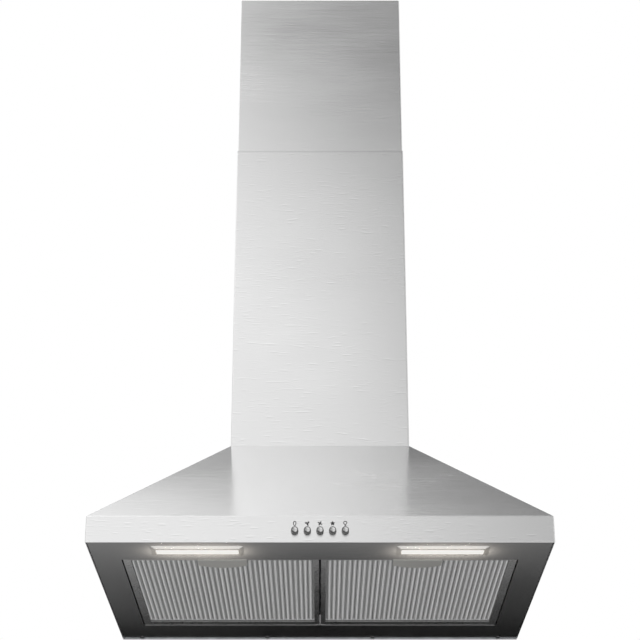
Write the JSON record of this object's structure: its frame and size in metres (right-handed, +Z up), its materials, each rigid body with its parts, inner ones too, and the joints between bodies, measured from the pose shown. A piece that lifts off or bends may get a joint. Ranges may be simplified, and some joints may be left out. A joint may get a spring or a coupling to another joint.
{
  "type": "chimney range hood",
  "caption": "Wall-hung chimney range hood with a pyramid canopy, push buttons, lamps, tilting grease filters, a blower and a telescopic chimney.",
  "frame": {"origin": "middle of the canopy's lower edge, on the wall plane", "axes": "+X to the viewer's right, +Y into the wall, +Z up along the chimney"},
  "size_m": [0.6, 0.507, 0.988],
  "materials": {
    "stainless_steel": "fine horizontal brushing",
    "panel_steel": "satin, darker than the shell",
    "galvanised_steel": "galvanised sheet",
    "screw_steel": "plain steel",
    "spring_steel": "drawn wire",
    "filter_aluminium": "rolled aluminium",
    "latch_aluminium": "satin",
    "button_chrome": "polished",
    "lamp_bezel_metal": "satin",
    "lamp_lens": "frosted, lit warm white",
    "circuit_green": "circuit board",
    "black_plastic": "moulded",
    "grey_plastic": "moulded",
    "white_plastic": "moulded",
    "motor_paint": "enamel",
    "bearing_bronze": "sintered",
    "grommet_rubber": "soft rubber"
  },
  "bodies": {
    "hood": {"back_panel": "galvanised_steel", "blower_chamber": "galvanised_steel", "blower_deck": "galvanised_steel", "button_spring_lamp": "spring_steel", "button_spring_off": "spring_steel", "button_spring_speed_1": "spring_steel", "button_spring_speed_2": "spring_steel", "button_spring_speed_3": "spring_steel", "cable_gland": "black_plastic", "canopy_shell": "stainless_steel", "chimney_foot_screws": "screw_steel", "chimney_lower": "stainless_steel", "circuit_board": "circuit_green", "control_box": "grey_plastic", "control_box_lid": "grey_plastic", "flap_pin": "screw_steel", "lamp_bezel_left": "lamp_bezel_metal", "lamp_bezel_right": "lamp_bezel_metal", "lamp_board_left": "circuit_green", "lamp_board_right": "circuit_green", "lamp_driver": "white_plastic", "lamp_lens_left": "lamp_lens", "lamp_lens_right": "lamp_lens", "motor_bearings": "bearing_bronze", "motor_bracket": "galvanised_steel", "motor_capacitor": "white_plastic", "motor_grommets": "grommet_rubber", "motor_housing": "motor_paint", "outlet_collar": "black_plastic", "panel_screws": "screw_steel", "scroll_cover": "grey_plastic", "scroll_housing": "grey_plastic", "switch_housing": "black_plastic", "terminal_block": "white_plastic", "underside_panel": "panel_steel"},
    "chimney_top": {"chimney_upper": "stainless_steel", "chimney_bracket": "galvanised_steel", "chimney_upper_screws": "screw_steel"},
    "impeller": {"impeller_disc": "black_plastic", "impeller_blades_left": "black_plastic", "impeller_blades_right": "black_plastic", "motor_shaft": "screw_steel"},
    "flap_front": {"flap_front": "black_plastic"},
    "flap_rear": {"flap_rear": "black_plastic"},
    "button_off": {"button_off": "button_chrome"},
    "button_speed_1": {"button_speed_1": "button_chrome"},
    "button_speed_2": {"button_speed_2": "button_chrome"},
    "button_speed_3": {"button_speed_3": "button_chrome"},
    "button_lamp": {"button_lamp": "button_chrome"},
    "filter_left": {"filter_frame_left": "filter_aluminium", "filter_mesh_left": "filter_aluminium", "latch_housing_left": "black_plastic", "latch_spring_left": "spring_steel"},
    "latch_left": {"latch_pull_left": "latch_aluminium"},
    "filter_right": {"filter_frame_right": "filter_aluminium", "filter_mesh_right": "filter_aluminium", "latch_housing_right": "black_plastic", "latch_spring_right": "spring_steel"},
    "latch_right": {"latch_pull_right": "latch_aluminium"}
  },
  "joints": [
    {"name": "button_off_press", "type": "slide", "parent": "hood", "child": "button_off", "axis": [0, 1, 0], "range_m": [0, 0.003], "stiffness_N_per_m": 400, "springref_m": -0.002, "deforming": ["button_spring_off"]},
    {"name": "button_speed_1_press", "type": "slide", "parent": "hood", "child": "button_speed_1", "axis": [0, 1, 0], "range_m": [0, 0.003], "stiffness_N_per_m": 400, "springref_m": -0.002, "deforming": ["button_spring_speed_1"]},
    {"name": "button_speed_2_press", "type": "slide", "parent": "hood", "child": "button_speed_2", "axis": [0, 1, 0], "range_m": [0, 0.003], "stiffness_N_per_m": 400, "springref_m": -0.002, "deforming": ["button_spring_speed_2"]},
    {"name": "button_speed_3_press", "type": "slide", "parent": "hood", "child": "button_speed_3", "axis": [0, 1, 0], "range_m": [0, 0.003], "stiffness_N_per_m": 400, "springref_m": -0.002, "deforming": ["button_spring_speed_3"]},
    {"name": "button_lamp_press", "type": "slide", "parent": "hood", "child": "button_lamp", "axis": [0, 1, 0], "range_m": [0, 0.003], "stiffness_N_per_m": 400, "springref_m": -0.002, "deforming": ["button_spring_lamp"]},
    {"name": "filter_left_tilt", "type": "hinge", "parent": "hood", "child": "filter_left", "pos_m": [0, -0.0838, 0.0059], "axis": [1, 0, 0], "range_deg": [0, 70]},
    {"name": "latch_left_pull", "type": "slide", "parent": "filter_left", "child": "latch_left", "axis": [0, 1, 0], "range_m": [0, 0.0055], "stiffness_N_per_m": 400, "springref_m": -0.004, "deforming": ["latch_spring_left"]},
    {"name": "filter_right_tilt", "type": "hinge", "parent": "hood", "child": "filter_right", "pos_m": [0, -0.0838, 0.0059], "axis": [1, 0, 0], "range_deg": [0, 70]},
    {"name": "latch_right_pull", "type": "slide", "parent": "filter_right", "child": "latch_right", "axis": [0, 1, 0], "range_m": [0, 0.0055], "stiffness_N_per_m": 400, "springref_m": -0.004, "deforming": ["latch_spring_right"]},
    {"name": "chimney_slide", "type": "slide", "parent": "hood", "child": "chimney_top", "axis": [0, 0, 1], "range_m": [-0.22, 0.12]},
    {"name": "impeller_spin", "type": "hinge", "parent": "hood", "child": "impeller", "pos_m": [0, -0.135, 0.3222], "axis": [1, 0, 0], "continuous": true},
    {"name": "flap_front_swing", "type": "hinge", "parent": "hood", "child": "flap_front", "pos_m": [0, -0.098, 0.5002], "axis": [-1, 0, 0], "range_deg": [0, 75]},
    {"name": "flap_rear_swing", "type": "hinge", "parent": "hood", "child": "flap_rear", "pos_m": [0, -0.098, 0.5002], "axis": [1, 0, 0], "range_deg": [0, 75]}
  ]
}
